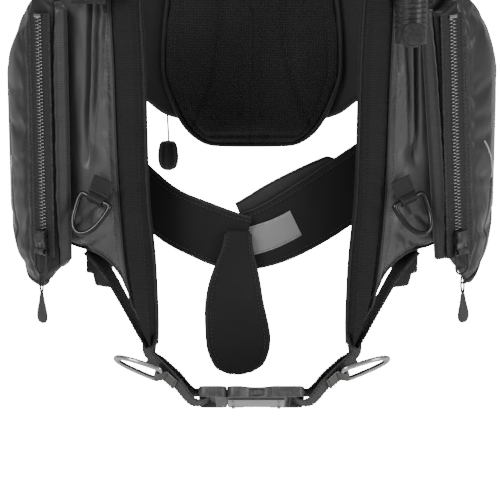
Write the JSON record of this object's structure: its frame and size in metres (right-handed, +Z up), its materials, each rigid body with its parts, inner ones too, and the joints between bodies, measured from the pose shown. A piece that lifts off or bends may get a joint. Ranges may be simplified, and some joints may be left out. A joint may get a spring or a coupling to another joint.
{
  "type": "buoyancy compensator vest",
  "caption": "Jacket-style diving buoyancy vest with inflatable side lobes, zipped pockets, rings, tank band, inflator hose, wrap waistband and a webbing belt with a side-release buckle.",
  "frame": {"origin": "middle of the rear face of the rubber rest that the tank lies against", "axes": "+Z up along the wearer's spine, -Y the way the wearer faces, +X to the wearer's left"},
  "size_m": [0.5004, 0.531, 0.7193],
  "materials": {
    "nylon": "satin woven",
    "pocket_nylon": "coated woven",
    "air_mesh": "matt spacer mesh",
    "webbing": "woven",
    "hook_fabric": "matt pile",
    "strap_pad": "matt",
    "grey_tab": "stitched",
    "plastic": "satin moulded",
    "rubber": "matt",
    "pull_rubber": "satin",
    "steel": "satin",
    "zip_metal": "satin",
    "satin_cover": "satin"
  },
  "bodies": {
    "vest": {"back_pad": "air_mesh", "backplate": "plastic", "cam_buckle": "plastic", "carry_handle": "rubber", "cummerbund_left": "hook_fabric", "cummerbund_liner": "hook_fabric", "cummerbund_right": "hook_fabric", "edge_pad_left": "air_mesh", "edge_pad_right": "air_mesh", "hose_elbow": "plastic", "inflator_hose": "rubber", "lobe_left": "nylon", "lobe_right": "nylon", "lobe_webbing_left": "webbing", "lobe_webbing_right": "webbing", "lower_pouch_left": "webbing", "lower_pouch_right": "webbing", "rear_air_cell": "nylon", "rear_dump_valve": "plastic", "ring_keeper_left": "grey_tab", "ring_patch_left": "webbing", "ring_patch_right": "webbing", "shoulder_dump_valve": "plastic", "shoulder_socket_left": "plastic", "shoulder_socket_right": "plastic", "shoulder_strap_left": "strap_pad", "shoulder_strap_right": "strap_pad", "shoulder_webbing_left": "webbing", "shoulder_webbing_right": "webbing", "tank_band": "webbing", "tank_rest": "rubber", "waist_face_plate": "satin_cover", "waist_socket": "plastic", "waist_webbing_left": "webbing", "waist_webbing_right": "webbing", "zip_pocket_left": "pocket_nylon", "zip_pocket_right": "pocket_nylon", "zip_tape_left": "webbing", "zip_tape_right": "webbing"},
    "zip_slider_right": {"zip_slider_right": "zip_metal"},
    "zip_pull_right": {"zip_pull_right": "pull_rubber"},
    "zip_slider_left": {"zip_slider_left": "zip_metal"},
    "zip_pull_left": {"zip_pull_left": "pull_rubber"},
    "chest_ring_right": {"chest_ring_right": "plastic"},
    "chest_ring_left": {"chest_ring_left": "plastic"},
    "waist_end_right": {"waist_latch": "plastic", "ring_keeper_right": "grey_tab"},
    "waist_ring_right": {"waist_ring_right": "steel"},
    "waist_ring_left": {"waist_ring_left": "steel"},
    "shoulder_latch_right": {"shoulder_latch_right": "plastic"},
    "shoulder_latch_left": {"shoulder_latch_left": "plastic"},
    "cam_lever": {"cam_lever": "plastic"},
    "cummerbund_tongue": {"cummerbund_tongue": "hook_fabric"},
    "inflator": {"inflator_body": "plastic"},
    "inflate_button": {"inflate_button": "steel"},
    "deflate_button": {"deflate_button": "plastic"},
    "rear_dump_pull": {"rear_dump_pull": "rubber"},
    "shoulder_dump_pull": {"shoulder_dump_pull": "rubber"}
  },
  "joints": [
    {"name": "zip_open_right", "type": "slide", "parent": "vest", "child": "zip_slider_right", "axis": [0, 0, 1], "range_m": [0, 0.212]},
    {"name": "zip_pull_swing_right", "type": "hinge", "parent": "zip_slider_right", "child": "zip_pull_right", "pos_m": [-0.21252, -0.24454, -0.2], "axis": [-0.749, 0.6626, 0], "range_deg": [0, 70]},
    {"name": "zip_open_left", "type": "slide", "parent": "vest", "child": "zip_slider_left", "axis": [-0.0542, -0.0418, 0.9977], "range_m": [0, 0.212]},
    {"name": "zip_pull_swing_left", "type": "hinge", "parent": "zip_slider_left", "child": "zip_pull_left", "pos_m": [0.21071, -0.24589, -0.20001], "axis": [-0.7903, -0.6089, -0.0684], "range_deg": [0, 70]},
    {"name": "chest_ring_swing_right", "type": "hinge", "parent": "vest", "child": "chest_ring_right", "pos_m": [-0.15554, -0.25277, -0.146], "axis": [-0.8667, 0.3632, 0.342], "range_deg": [0, 120]},
    {"name": "chest_ring_swing_left", "type": "hinge", "parent": "vest", "child": "chest_ring_left", "pos_m": [0.15554, -0.25277, -0.146], "axis": [-0.8667, -0.3632, -0.342], "range_deg": [0, 120]},
    {"name": "waist_latch_pull", "type": "slide", "parent": "vest", "child": "waist_end_right", "axis": [-1, 0, 0], "range_m": [0, 0.058], "deforming": ["waist_webbing_right"]},
    {"name": "waist_ring_swing_right", "type": "hinge", "parent": "waist_end_right", "child": "waist_ring_right", "pos_m": [-0.09489, -0.25252, -0.32687], "axis": [0.1329, -0.8761, 0.4634], "range_deg": [-8, 110]},
    {"name": "waist_ring_swing_left", "type": "hinge", "parent": "vest", "child": "waist_ring_left", "pos_m": [0.09462, -0.25252, -0.3269], "axis": [0.13, 0.8766, -0.4632], "range_deg": [-8, 110]},
    {"name": "shoulder_latch_pull_right", "type": "slide", "parent": "vest", "child": "shoulder_latch_right", "axis": [0.1169, -0.1948, 0.9739], "range_m": [0, 0.038], "deforming": ["shoulder_webbing_right"]},
    {"name": "shoulder_latch_pull_left", "type": "slide", "parent": "vest", "child": "shoulder_latch_left", "axis": [-0.1169, -0.1948, 0.9739], "range_m": [0, 0.038], "deforming": ["shoulder_webbing_left"]},
    {"name": "cam_lever_turn", "type": "hinge", "parent": "vest", "child": "cam_lever", "pos_m": [0.1058, 0.068, 0], "axis": [0, 0, -1], "range_deg": [0, 145]},
    {"name": "tongue_swing", "type": "hinge", "parent": "vest", "child": "cummerbund_tongue", "pos_m": [-0.0155, -0.2136, -0.19], "axis": [0, 1, 0], "range_deg": [-18, 18]},
    {"name": "inflator_swing", "type": "hinge", "parent": "vest", "child": "inflator", "pos_m": [0.156, -0.2, 0.325], "axis": [-1, 0, 0], "range_deg": [0, 30], "deforming": ["inflator_hose"]},
    {"name": "inflate_press", "type": "slide", "parent": "inflator", "child": "inflate_button", "axis": [0, 1, 0], "range_m": [0, 0.004], "stiffness_N_per_m": 600},
    {"name": "deflate_press", "type": "slide", "parent": "inflator", "child": "deflate_button", "axis": [0, 0, 1], "range_m": [0, 0.004], "stiffness_N_per_m": 600},
    {"name": "rear_dump_pull_down", "type": "slide", "parent": "vest", "child": "rear_dump_pull", "axis": [0, 0, -1], "range_m": [0, 0.012], "stiffness_N_per_m": 400},
    {"name": "shoulder_dump_pull_down", "type": "slide", "parent": "vest", "child": "shoulder_dump_pull", "axis": [0, 0, -1], "range_m": [0, 0.012], "stiffness_N_per_m": 400}
  ]
}
